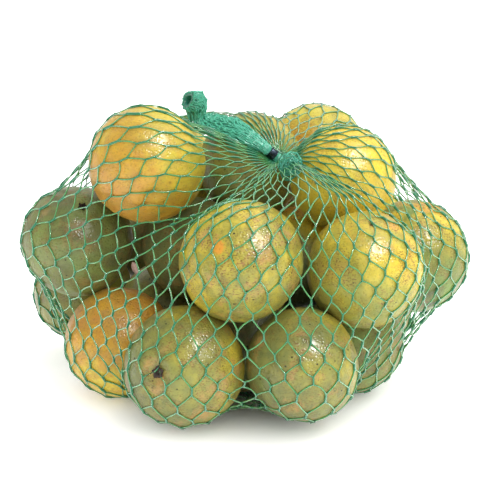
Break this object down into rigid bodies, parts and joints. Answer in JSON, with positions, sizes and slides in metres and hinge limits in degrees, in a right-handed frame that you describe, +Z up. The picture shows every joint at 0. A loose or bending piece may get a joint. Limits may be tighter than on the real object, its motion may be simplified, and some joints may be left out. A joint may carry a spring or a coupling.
{
  "type": "net bag of oranges",
  "caption": "Taut green plastic net bag filled with unripe green, yellow and orange citrus fruit, gathered at the top by a crimped metal clip with a short knotted tail.",
  "frame": {"origin": "under the middle of the bag, on the surface that it stands on", "axes": "+X to the viewer's right along the bag's longest side, +Y away from the viewer, +Z up"},
  "size_m": [0.2924, 0.2418, 0.1897],
  "materials": {
    "green_net": "extruded diamond net of half-clear sea-green plastic, lightly shiny",
    "orange_peel": "pored waxy citrus peel, green to yellow to orange, with brown russet specks",
    "clip_metal": "dark crimped strip, lightly scratched"
  },
  "bodies": {
    "root": {"net_bag": "green_net", "closure_clip": "clip_metal"}
  },
  "joints": []
}
